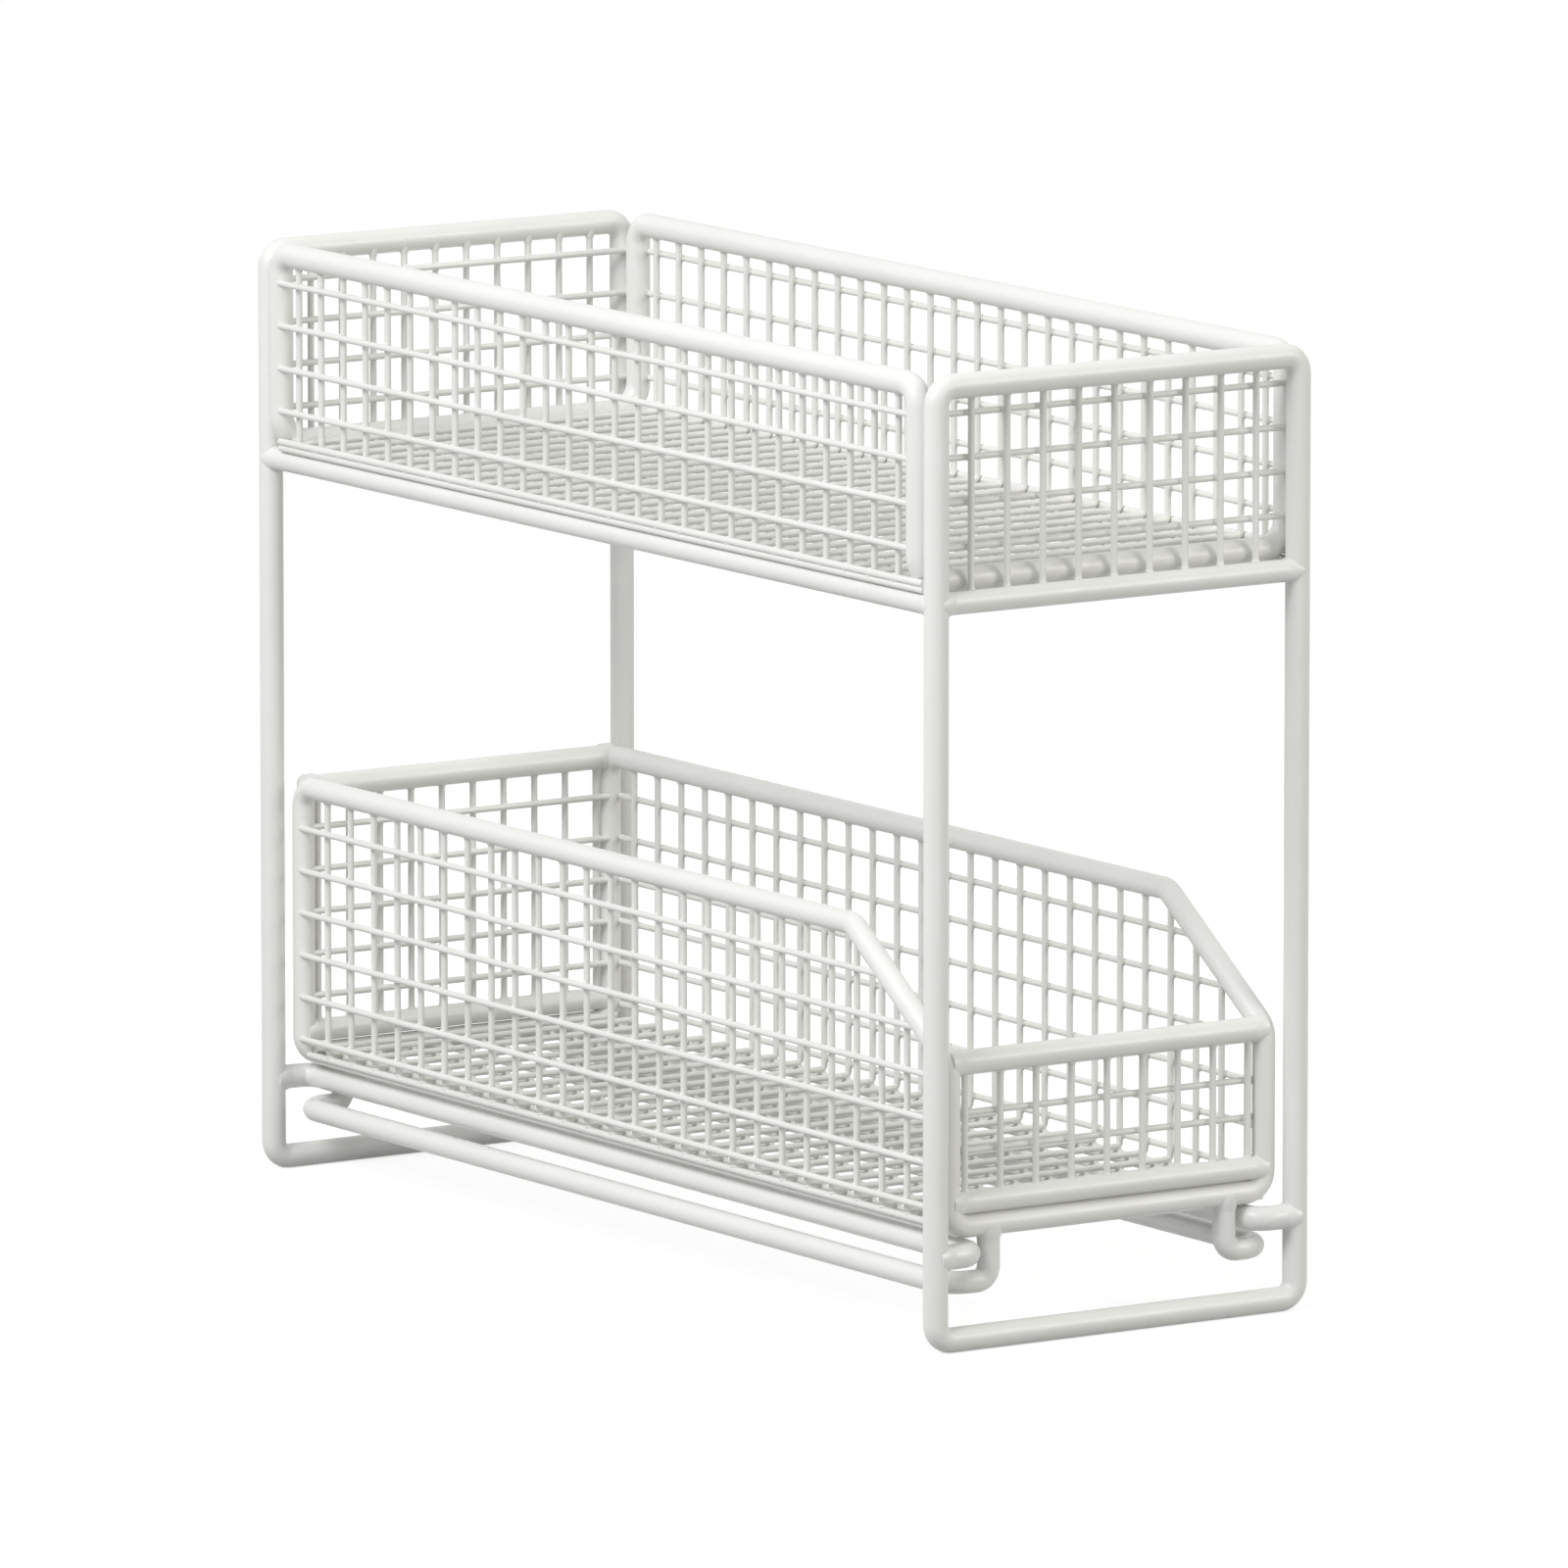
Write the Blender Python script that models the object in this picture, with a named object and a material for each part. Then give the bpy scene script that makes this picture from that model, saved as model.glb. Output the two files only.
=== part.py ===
"""Two-tier wire storage rack with a sliding lower basket, in metres, +Z up.

The rack stands on its two foot bars. Its front is at -Y, and the lower basket
pulls out along -Y. The origin is on the floor at the middle of the footprint.
"""

import math

import bmesh
import bpy
from mathutils import Matrix, Vector

MM = 0.001

# Gaps between pieces
WELD_GAP = 0.3 * MM  # between welded neighbours, which stay separate solids
RUNNING_GAP = 0.3 * MM  # between the drawer's bottom rods and the runners
SIDE_CLEARANCE = 0.8 * MM  # between the drawer and the posts
HOOK_CLEARANCE = 1.1 * MM  # between a guide's legs and its runner
GUIDE_CLEARANCE = 2.0 * MM  # between a guide and the runner above it

# End loops: two posts, a top rail and a foot bar in one bent wire
FRAME_WIDTH = 127.0 * MM  # between the posts' centre lines
FRAME_LENGTH = 361.0 * MM  # between the end loops' planes
FRAME_HEIGHT = 279.0 * MM  # between the centre lines of foot bar and top rail
FRAME_WIRE = 7.4 * MM
FRAME_BEND = 5.2 * MM

# Rails
RAIL_WIRE = 6.8 * MM
DRAWER_RAIL_WIRE = 7.4 * MM  # across the tops of the drawer's ends
RAIL_REACH_SHARE = 0.5  # of the rim's radius that a rail's end stops short of its centre
REAR_RAIL_SHARE = 0.8  # of the way from the middle of the rim's rear bend out to its corner
LOWER_RAIL_DROP = 63.1 * MM  # below the top rails

# Basket rims
RIM_WIRE = 7.4 * MM
DRAWER_RIM_WIRE = 6.8 * MM
RIM_BEND = 6.2 * MM
RIM_FOOT_BEND = 8.5 * MM  # where the upper rim turns in across the ends
RIM_OUTSET = 1.0 * MM  # the upper rim's sides outside the posts' centre lines

# Runners and guides
RUNNER_WIRE = 7.4 * MM
RUNNER_BEND = 5.0 * MM
RUNNER_HEIGHT = 24.6 * MM  # above the foot bars' centre line
GUIDE_WIRE = 6.8 * MM
GUIDE_BEND = 7.5 * MM  # where a guide turns inwards
HOOK_BEND = 4.2 * MM  # where it turns up to the rods
GUIDE_TO_RUNNER = 5.8 * MM  # between their centre lines, across the rack

# Drawer
DRAWER_SETBACK = 5.0 * MM  # its ends inside the end loops
DRAWER_HEIGHT = 82.7 * MM  # bottom rods to rim, between centre lines
FRONT_HEIGHT = 48.5 * MM  # bottom rod to the foot of the slope
SLOPE_LENGTH = 49.6 * MM  # along Y

# Welded mesh
MESH_WIRE = 2.0 * MM
BORDER_WIRE = 2.2 * MM
MESH_PITCH = 12.5 * MM  # between uprights, and between floor wires
REAR_PITCH = 11.2 * MM  # between uprights on the rear walls
DRAWER_PITCH = 13.15 * MM  # between uprights on the drawer's long walls
DRAWER_FIRST_UPRIGHT = 13.9 * MM  # before its rear end
ROW_PITCH = 13.0 * MM  # between the rows on a wall
UPPER_FIRST_ROW = 8.5 * MM  # below the upper rim's centre line
DRAWER_FIRST_ROW = 12.5 * MM  # below the drawer rim's centre line
END_MESH_SETBACK = 2.1 * MM  # behind the centre line of the end loop

# Facets
FRAME_SIDES = 12
WIRE_SIDES = 10
BEND_STEPS = 4  # in a quarter turn
SMOOTH_ANGLE = math.radians(50)
SQUARE_SHARE = math.sqrt(math.pi) / 2  # side of the square with a round wire's area
WELD_SHARE = 0.7  # side of a weld, of the mesh wire's

FRAME_RADIUS = FRAME_WIRE / 2
RAIL_RADIUS = RAIL_WIRE / 2
RIM_RADIUS = RIM_WIRE / 2
DRAWER_RIM_RADIUS = DRAWER_RIM_WIRE / 2
DRAWER_RAIL_RADIUS = DRAWER_RAIL_WIRE / 2
RUNNER_RADIUS = RUNNER_WIRE / 2
GUIDE_RADIUS = GUIDE_WIRE / 2
MESH_HALF = MESH_WIRE * SQUARE_SHARE / 2
BORDER_HALF = BORDER_WIRE * SQUARE_SHARE / 2

POST_X = FRAME_WIDTH / 2
LOOP_Y = FRAME_LENGTH / 2
FOOT_Z = FRAME_RADIUS * math.cos(math.pi / FRAME_SIDES)  # its lower flat is on the floor
TOP_Z = FOOT_Z + FRAME_HEIGHT
LOWER_RAIL_Z = TOP_Z - LOWER_RAIL_DROP

RIM_X = POST_X + RIM_OUTSET
RIM_Y = LOOP_Y - FRAME_RADIUS - WELD_GAP - RIM_RADIUS
RIM_TO_RAIL = RAIL_RADIUS + WELD_GAP + RIM_RADIUS  # between centre lines where the bend meets the rail
FOOT_BEND_X = RIM_X - RIM_FOOT_BEND - POST_X  # the bend's centre from the side rail's
FOOT_BEND_Z = LOWER_RAIL_Z + math.sqrt((RIM_TO_RAIL + RIM_FOOT_BEND) ** 2 - FOOT_BEND_X ** 2)
RIM_BOTTOM_Z = FOOT_BEND_Z - RIM_FOOT_BEND

DRAWER_X = POST_X - FRAME_RADIUS - SIDE_CLEARANCE - max(DRAWER_RIM_RADIUS, MESH_WIRE + MESH_HALF)
DRAWER_Y = LOOP_Y - DRAWER_SETBACK
RUNNER_Z = FOOT_Z + RUNNER_HEIGHT
ROD_Z = RUNNER_Z + RUNNER_RADIUS + RUNNING_GAP + DRAWER_RIM_RADIUS
DRAWER_TOP_Z = ROD_Z + DRAWER_HEIGHT
SLOPE_FOOT_Z = ROD_Z + FRONT_HEIGHT
SLOPE_TOP_Y = -DRAWER_Y + SLOPE_LENGTH
BOTTOM_RAIL_Z = ROD_Z + DRAWER_RIM_RADIUS + WELD_GAP + RAIL_RADIUS

GUIDE_X = DRAWER_X + DRAWER_RIM_RADIUS - GUIDE_RADIUS
RUNNER_X = GUIDE_X - GUIDE_TO_RUNNER
LEG_X = RUNNER_X - RUNNER_RADIUS - GUIDE_RADIUS - HOOK_CLEARANCE
GUIDE_Z = RUNNER_Z - RUNNER_RADIUS - GUIDE_RADIUS - GUIDE_CLEARANCE


def powder_coat(name, colour, roughness):
    """White powder coat: a dielectric paint over the steel wire."""
    material = bpy.data.materials.new(name)
    material.use_nodes = True
    shader = material.node_tree.nodes["Principled BSDF"]
    shader.inputs["Base Color"].default_value = (*colour, 1)
    shader.inputs["Roughness"].default_value = roughness
    shader.inputs["Metallic"].default_value = 0
    material.diffuse_color = (*colour, 1)
    return material


def add_object(name, mesh, material):
    """A sub-part: an object with its own copy of the material."""
    mesh.name = name
    mesh.materials.clear()
    own = material.copy()
    own.name = name + "_coat"
    mesh.materials.append(own)
    mesh.shade_smooth()
    mesh.set_sharp_from_angle(angle=SMOOTH_ANGLE)
    piece = bpy.data.objects.new(name, mesh)
    bpy.context.scene.collection.objects.link(piece)
    return piece


def add_helper(name, mesh):
    """A shape that only cuts or joins others, so it isn't rendered."""
    helper = bpy.data.objects.new(name, mesh)
    helper.hide_render = True
    helper.display_type = "WIRE"
    bpy.context.scene.collection.objects.link(helper)
    return helper


def add_boolean(piece, operation, other):
    boolean = piece.modifiers.new(other.name, "BOOLEAN")
    boolean.operation = operation
    boolean.solver = "EXACT"
    boolean.use_self = operation == "UNION"
    boolean.object = other


def bend_arc(before, corner, after, bend):
    """The points of the arc that rounds one corner of a wire's centre line."""
    back = (before - corner).normalized()
    ahead = (after - corner).normalized()
    half_turn = (math.pi - back.angle(ahead)) / 2
    reach = bend * math.tan(half_turn)
    centre = corner + (back + ahead).normalized() * bend / math.cos(half_turn)
    first = corner + back * reach - centre
    last = corner + ahead * reach - centre
    axis = first.cross(last)
    steps = max(2, round(BEND_STEPS * 2 * half_turn / (math.pi / 2)))
    arc = []
    for step in range(steps + 1):
        turn = Matrix.Rotation(2 * half_turn * step / steps, 3, axis)
        arc.append(centre + turn @ first)
    return arc


def bend_middle(before, corner, after, bend):
    """The point halfway round the arc of one corner."""
    arc = bend_arc(Vector(before), Vector(corner), Vector(after), bend)
    return arc[len(arc) // 2]


def wire_mesh(name, corners, diameter, bend, closed, sides):
    """The mesh of a round wire bent at each corner of its centre line.

    The radius of the bends is one number, or a tuple with one for each corner.
    """
    corners = [Vector(corner) for corner in corners]
    bends = bend if isinstance(bend, tuple) else (bend,) * len(corners)
    path = []
    for index, corner in enumerate(corners):
        if not closed and index in (0, len(corners) - 1):
            path.append(corner)
        else:
            after = corners[(index + 1) % len(corners)]
            path.extend(bend_arc(corners[index - 1], corner, after, bends[index]))
    curve = bpy.data.curves.new(name, "CURVE")
    curve.dimensions = "3D"
    curve.bevel_depth = diameter / 2
    curve.bevel_resolution = sides // 2 - 2
    curve.use_fill_caps = True
    spline = curve.splines.new("POLY")
    spline.points.add(len(path) - 1)
    for point, place in zip(spline.points, path):
        point.co = (*place, 1)
        point.tilt = math.pi / sides
    spline.use_cyclic_u = closed
    guide = bpy.data.objects.new(name, curve)
    bpy.context.scene.collection.objects.link(guide)
    graph = bpy.context.evaluated_depsgraph_get()
    mesh = bpy.data.meshes.new_from_object(guide.evaluated_get(graph), depsgraph=graph)
    bpy.data.objects.remove(guide)
    bpy.data.curves.remove(curve)
    welded = bmesh.new()
    welded.from_mesh(mesh)
    bmesh.ops.remove_doubles(welded, verts=welded.verts, dist=WELD_GAP / 100)
    bmesh.ops.recalc_face_normals(welded, faces=welded.faces)
    welded.to_mesh(mesh)
    welded.free()
    return mesh


def add_wire(name, corners, diameter, bend, material, closed=False, sides=WIRE_SIDES):
    """One wire as a sub-part."""
    return add_object(name, wire_mesh(name, corners, diameter, bend, closed, sides), material)


def add_seat(name, corners, diameter, bend, closed=False, sides=WIRE_SIDES):
    """A thicker copy of a wire, which cuts the seat for it into its neighbours."""
    name += "_seat"
    cutter = wire_mesh(name, corners, diameter + 2 * WELD_GAP, bend, closed, sides)
    return add_helper(name, cutter)


def cope(wire, *seats):
    """Cuts a wire's ends to the neighbours that it is welded to."""
    for seat in seats:
        add_boolean(wire, "DIFFERENCE", seat)


def end_loop(name, y, coat):
    corners = (
        (-POST_X, y, FOOT_Z),
        (POST_X, y, FOOT_Z),
        (POST_X, y, TOP_Z),
        (-POST_X, y, TOP_Z),
    )
    add_wire(name, corners, FRAME_WIRE, FRAME_BEND, coat, True, FRAME_SIDES)
    return add_seat(name, corners, FRAME_WIRE, FRAME_BEND, True, FRAME_SIDES)


def mirrored(side, corners):
    """The same corners on the other side when side is -1."""
    return [(side * x, y, z) for x, y, z in corners]


def side_corners(rear_y, front_y, top_z, bottom_z, slope=()):
    """One side of a basket rim, from its rear bottom corner to its front one."""
    return [(rear_y, bottom_z), (rear_y, top_z), *slope, (front_y, bottom_z)]


def basket_rim(name, half_width, profile, diameter, bend, coat):
    """A closed wire: one side's profile, across the front, and back along the other side."""
    right = [(half_width, y, z) for y, z in profile]
    left = [(-half_width, y, z) for y, z in reversed(profile)]
    add_wire(name, right + left, diameter, bend, coat, True)
    return right + left


def upper_profile():
    return side_corners(RIM_Y, -RIM_Y, TOP_Z, RIM_BOTTOM_Z, [(-RIM_Y, TOP_Z)])


def drawer_profile():
    slope = [(SLOPE_TOP_Y, DRAWER_TOP_Z), (-DRAWER_Y, SLOPE_FOOT_Z)]
    return side_corners(DRAWER_Y, -DRAWER_Y, DRAWER_TOP_Z, ROD_Z, slope)


def runner(name, side, coat):
    corners = (
        (POST_X, -LOOP_Y, RUNNER_Z),
        (RUNNER_X, -LOOP_Y, RUNNER_Z),
        (RUNNER_X, LOOP_Y, RUNNER_Z),
        (POST_X, LOOP_Y, RUNNER_Z),
    )
    return add_wire(name, mirrored(side, corners), RUNNER_WIRE, RUNNER_BEND, coat)


def guide_wire(name, side, coat):
    """Outside and below the runner, hooked under it at both ends up to the drawer's rods."""
    leg_top = ROD_Z - RAIL_REACH_SHARE * DRAWER_RIM_RADIUS
    corners = (
        (LEG_X, -DRAWER_Y, leg_top),
        (LEG_X, -DRAWER_Y, GUIDE_Z),
        (GUIDE_X, -DRAWER_Y, GUIDE_Z),
        (GUIDE_X, DRAWER_Y, GUIDE_Z),
        (LEG_X, DRAWER_Y, GUIDE_Z),
        (LEG_X, DRAWER_Y, leg_top),
    )
    bends = (0, HOOK_BEND, GUIDE_BEND, GUIDE_BEND, HOOK_BEND, 0)
    return add_wire(name, mirrored(side, corners), GUIDE_WIRE, bends, coat)


def add_block(mesh, place, u_range, v_range, w_range):
    """A box between two values of each panel coordinate."""
    corners = [mesh.verts.new(place(u, v, w)) for u in u_range for v in v_range for w in w_range]
    for face in ((0, 1, 3, 2), (4, 6, 7, 5), (0, 4, 5, 1), (2, 3, 7, 6), (0, 2, 6, 4), (1, 5, 7, 3)):
        mesh.faces.new([corners[index] for index in face])


def blocks_mesh(name, place, blocks):
    shape = bmesh.new()
    for block in blocks:
        add_block(shape, place, *block)
    bmesh.ops.recalc_face_normals(shape, faces=shape.faces)
    mesh = bpy.data.meshes.new(name)
    shape.to_mesh(mesh)
    shape.free()
    return mesh


def around(value, half):
    return (value - half, value + half)


def mesh_panel(name, place, uprights, rows, borders, welds, coat):
    """A panel of welded mesh, in its own coordinates: u and v across it, w through it.

    Uprights (u, from v, to v) and borders lie in one layer, rows (v, from u, to u) in
    the next, and welds (u, v) join a row to an upright.
    """
    upright_blocks = [(around(u, MESH_HALF), (low, high), around(0, MESH_HALF)) for u, low, high in uprights]
    row_w = around(MESH_WIRE, MESH_HALF)
    row_blocks = [((start, end), around(v, MESH_HALF), row_w) for v, start, end in rows]
    weld_half = MESH_HALF * WELD_SHARE
    weld_w = around(MESH_WIRE / 2, weld_half)
    joint_blocks = [(around(u, weld_half), around(v, weld_half), weld_w) for u, v in welds]
    joint_blocks += borders
    piece = add_object(name, blocks_mesh(name, place, upright_blocks), coat)
    for part, blocks in (("_joints", joint_blocks), ("_rows", row_blocks)):
        helper = add_helper(name + part, blocks_mesh(name + part, place, blocks))
        add_boolean(piece, "UNION", helper)
    return piece


def centred_steps(half_span, pitch):
    """Places at a pitch from the middle out, within half_span each way."""
    count = int(half_span / pitch)
    return [index * pitch for index in range(-count, count + 1)]


def paired_steps(half_span, pitch):
    """The same with the middle halfway between two places."""
    count = int(half_span / pitch + 1 / 2)
    return [index * pitch + pitch / 2 for index in range(-count, count)]


def even_steps(low, high, pitch):
    """Places that divide a span evenly at a pitch or less, without its ends."""
    gaps = math.ceil((high - low) / pitch)
    return [low + (high - low) * index / gaps for index in range(1, gaps)]


def steps_forward(last, half_length, pitch):
    """Places at a pitch from the last one, near the rear, to the front."""
    count = int((last + half_length) / pitch) + 1
    return [last - index * pitch for index in range(count)]


def rows_down(top, first, pitch, base):
    """Heights of the rows, from the first one below the rim down to the base wire."""
    count = int((top - first - base - MESH_WIRE) / pitch) + 1
    return [top - first - index * pitch for index in range(count)]


def side_panel(name, side, plane_x, half_length, base_z, columns, row_heights, edges, coat):
    """A long wall: uprights on a base wire, with the rows outside them.

    edges gives the rim's underside at a y, and the front end of a row at a height.
    """
    underside, row_front = edges
    uprights = [(y, base_z, underside(y)) for y in columns]
    rows = []
    welds = []
    for z in row_heights:
        crossed = [y for y, _, top in uprights if top > z + MESH_HALF]
        rows.append((z, row_front(z), half_length))
        welds += [(min(crossed), z), (max(crossed), z)]
    borders = [((-half_length, half_length), around(base_z, BORDER_HALF), around(0, BORDER_HALF))]

    def place(u, v, w):
        return (side * (plane_x + w), u, v)

    return mesh_panel(name, place, uprights, rows, borders, welds, coat)


def end_panel(name, end, plane_y, half_width, heights, row_heights, coat):
    """An end wall between two rails: the rows lie inside the uprights."""
    span = half_width - MESH_HALF
    columns = centred_steps(span, MESH_PITCH) if end < 0 else paired_steps(span, REAR_PITCH)
    uprights = [(x, *heights) for x in columns]
    rows = [(z, -half_width, half_width) for z in row_heights]
    lowest = min(row_heights)
    welds = [(x, lowest) for x in columns]
    for z in row_heights:
        if z != lowest:
            welds += [(columns[0], z), (columns[-1], z)]

    def place(u, v, w):
        return (u, end * (plane_y - w), v)

    return mesh_panel(name, place, uprights, rows, [], welds, coat)


def floor_panel(name, half_width, half_length, floor_z, columns, coat):
    """A floor: cross wires between two side borders, over lengthwise wires between two end bars."""
    border_x = half_width - BORDER_HALF
    end_y = half_length - BORDER_HALF
    cross_wires = [(y, -border_x, border_x) for y in columns]
    long_wires = [(x, -end_y, end_y) for x in centred_steps(border_x - BORDER_WIRE, MESH_PITCH)]
    borders = []
    for side in (-1, 1):
        side_v = around(side * border_x, BORDER_HALF)
        borders.append(((-half_length, half_length), side_v, around(0, BORDER_HALF)))
        end_u = around(side * end_y, BORDER_HALF)
        end_w = (-MESH_HALF, MESH_WIRE + BORDER_HALF)
        borders.append((end_u, (-border_x, border_x), end_w))

    def place(u, v, w):
        return (v, u, floor_z - w)

    return mesh_panel(name, place, cross_wires, long_wires, borders, [], coat)


def flat_edges(half_length):
    """The edges of the upper basket's wall, whose rim is level."""
    return (lambda y: TOP_Z - RIM_RADIUS - WELD_GAP), (lambda z: -half_length)


def sloped_edges(half_length):
    """The edges of the drawer's wall, whose rim slopes down at the front."""
    slope = (DRAWER_TOP_Z - SLOPE_FOOT_Z) / SLOPE_LENGTH
    margin = (DRAWER_RIM_RADIUS + WELD_GAP) * math.hypot(1, slope)
    level = DRAWER_TOP_Z - DRAWER_RIM_RADIUS - WELD_GAP

    def underside(y):
        sloping = SLOPE_FOOT_Z + (y - MESH_HALF + DRAWER_Y) * slope - margin
        return min(level, sloping)

    def row_front(z):
        return max(-half_length, -DRAWER_Y + (z + MESH_HALF - SLOPE_FOOT_Z + margin) / slope)

    return underside, row_front


def make_frame(coat):
    """The two end loops and the rails and runners welded between them."""
    loops = [end_loop("front_frame_loop", -LOOP_Y, coat), end_loop("rear_frame_loop", LOOP_Y, coat)]
    crossbars = []
    for name, y, loop in (("front", -LOOP_Y, loops[0]), ("rear", LOOP_Y, loops[1])):
        bar = "upper_" + name + "_crossbar"
        ends = ((-POST_X, y, LOWER_RAIL_Z), (POST_X, y, LOWER_RAIL_Z))
        cope(add_wire(bar, ends, RAIL_WIRE, 0, coat), loop)
        crossbars.append(add_seat(bar, ends, RAIL_WIRE, 0))
    for name, side in (("left", -1), ("right", 1)):
        x = side * POST_X
        ends = ((x, -LOOP_Y, LOWER_RAIL_Z), (x, LOOP_Y, LOWER_RAIL_Z))
        rail = add_wire("upper_" + name + "_side_rail", ends, RAIL_WIRE, 0, coat)
        cope(rail, *loops, *crossbars)
        cope(runner(name + "_runner", side, coat), *loops)


def make_upper_basket(coat, mesh_coat):
    """The fixed basket: its rim and the five panels inside the frame."""
    bends = (RIM_FOOT_BEND, RIM_BEND, RIM_BEND, RIM_FOOT_BEND) * 2
    basket_rim("upper_basket_rim", RIM_X, upper_profile(), RIM_WIRE, bends, coat)
    base_z = LOWER_RAIL_Z + RAIL_RADIUS + WELD_GAP + BORDER_HALF
    half_length = RIM_Y - RIM_RADIUS - WELD_GAP
    columns = centred_steps(half_length, MESH_PITCH)
    row_heights = rows_down(TOP_Z, UPPER_FIRST_ROW, ROW_PITCH, base_z)
    edges = flat_edges(half_length)
    for name, side in (("left", -1), ("right", 1)):
        panel = "upper_mesh_" + name
        side_panel(panel, side, RIM_X, half_length, base_z, columns, row_heights, edges, mesh_coat)
    heights = (LOWER_RAIL_Z + RAIL_RADIUS + WELD_GAP, TOP_Z - FRAME_RADIUS - WELD_GAP)
    half_width = POST_X - FRAME_RADIUS - WELD_GAP
    plane_y = LOOP_Y - END_MESH_SETBACK
    for name, end in (("front", -1), ("rear", 1)):
        panel = "upper_mesh_" + name
        end_panel(panel, end, plane_y, half_width, heights, row_heights, mesh_coat)
    floor_width = RIM_X - BORDER_HALF - WELD_GAP
    floor_panel("upper_mesh_floor", floor_width, half_length, base_z + MESH_WIRE, columns, mesh_coat)


def make_drawer(coat, mesh_coat):
    """The sliding basket, all parented to an empty on the line that it slides along."""
    slide = bpy.data.objects.new("drawer_slide", None)
    slide.location = (0, 0, ROD_Z)
    bpy.context.scene.collection.objects.link(slide)
    before = set(bpy.data.objects)
    profile = drawer_profile()
    corners = basket_rim("drawer_rim", DRAWER_X, profile, DRAWER_RIM_WIRE, RIM_BEND, coat)
    rim_seat = add_seat("drawer_rim", corners, DRAWER_RIM_WIRE, RIM_BEND, True)

    rear_corner = Vector((0, DRAWER_Y, DRAWER_TOP_Z))
    rear_middle = bend_middle(*[(0, y, z) for y, z in profile[0:3]], RIM_BEND)
    rear_middle = rear_middle.lerp(rear_corner, REAR_RAIL_SHARE)
    front_middle = bend_middle(*[(0, y, z) for y, z in profile[2:5]], RIM_BEND)
    rails = (
        ("front_top", DRAWER_RAIL_WIRE, front_middle.y, front_middle.z),
        ("front_bottom", RAIL_WIRE, -DRAWER_Y, BOTTOM_RAIL_Z),
        ("rear_top", DRAWER_RAIL_WIRE, rear_middle.y, rear_middle.z),
        ("rear_bottom", RAIL_WIRE, DRAWER_Y, BOTTOM_RAIL_Z),
    )
    reach = DRAWER_X - RAIL_REACH_SHARE * DRAWER_RIM_RADIUS
    for name, diameter, y, z in rails:
        rail = add_wire("drawer_" + name + "_rail", ((-reach, y, z), (reach, y, z)), diameter, 0, coat)
        cope(rail, rim_seat)

    half_length = DRAWER_Y - DRAWER_RIM_RADIUS - WELD_GAP
    columns = steps_forward(DRAWER_Y - DRAWER_FIRST_UPRIGHT, half_length, DRAWER_PITCH)
    row_heights = rows_down(DRAWER_TOP_Z, DRAWER_FIRST_ROW, ROW_PITCH, ROD_Z)
    for name, side in (("left", -1), ("right", 1)):
        panel = "drawer_mesh_" + name
        edges = sloped_edges(half_length)
        side_panel(panel, side, DRAWER_X, half_length, ROD_Z, columns, row_heights, edges, mesh_coat)
        cope(guide_wire(name + "_guide_wire", side, coat), rim_seat)

    half_width = DRAWER_X - DRAWER_RIM_RADIUS - WELD_GAP
    low_z = BOTTOM_RAIL_Z + RAIL_RADIUS + WELD_GAP
    front_z = front_middle.z - DRAWER_RAIL_RADIUS - WELD_GAP
    rear_z = rear_middle.z - DRAWER_RAIL_RADIUS - WELD_GAP
    front_rows = even_steps(low_z, front_z, ROW_PITCH)
    rear_rows = [z for z in row_heights if z > low_z + MESH_WIRE]
    ends = (("front", -1, front_z, front_rows), ("rear", 1, rear_z, rear_rows))
    for name, end, high_z, rows in ends:
        panel = "drawer_mesh_" + name
        end_panel(panel, end, DRAWER_Y, half_width, (low_z, high_z), rows, mesh_coat)
    floor_width = DRAWER_X - BORDER_HALF - WELD_GAP
    floor_panel("drawer_mesh_floor", floor_width, half_length, ROD_Z + MESH_WIRE, columns, mesh_coat)

    bpy.context.view_layer.update()
    for piece in set(bpy.data.objects) - before:
        piece.parent = slide
        piece.matrix_parent_inverse = slide.matrix_world.inverted()


def main():
    for old in list(bpy.data.objects):
        bpy.data.objects.remove(old)
    frame_coat = powder_coat("frame_powder_coat", (0.80, 0.80, 0.77), 0.38)
    mesh_coat = powder_coat("mesh_powder_coat", (0.78, 0.78, 0.75), 0.42)
    make_frame(frame_coat)
    make_upper_basket(frame_coat, mesh_coat)
    make_drawer(frame_coat, mesh_coat)


main()
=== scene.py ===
"""The two-tier wire rack dressed for the photograph: round wires, welded mesh and powder coat."""

import math

import bmesh
import bpy
from mathutils import Matrix, Vector


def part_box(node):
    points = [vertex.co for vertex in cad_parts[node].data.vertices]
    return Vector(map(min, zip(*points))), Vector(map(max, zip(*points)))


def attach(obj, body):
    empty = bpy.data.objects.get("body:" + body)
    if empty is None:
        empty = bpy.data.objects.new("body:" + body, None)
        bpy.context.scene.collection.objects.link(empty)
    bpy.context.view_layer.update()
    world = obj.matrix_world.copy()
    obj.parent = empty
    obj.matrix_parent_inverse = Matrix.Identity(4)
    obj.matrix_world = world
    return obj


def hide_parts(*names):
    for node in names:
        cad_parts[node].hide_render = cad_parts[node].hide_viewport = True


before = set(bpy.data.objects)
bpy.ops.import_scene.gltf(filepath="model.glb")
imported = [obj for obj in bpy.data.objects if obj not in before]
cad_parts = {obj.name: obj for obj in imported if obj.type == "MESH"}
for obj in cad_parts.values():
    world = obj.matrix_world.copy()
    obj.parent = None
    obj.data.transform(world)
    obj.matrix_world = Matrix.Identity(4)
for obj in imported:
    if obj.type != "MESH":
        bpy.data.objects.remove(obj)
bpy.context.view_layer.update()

MM = 0.001

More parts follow.
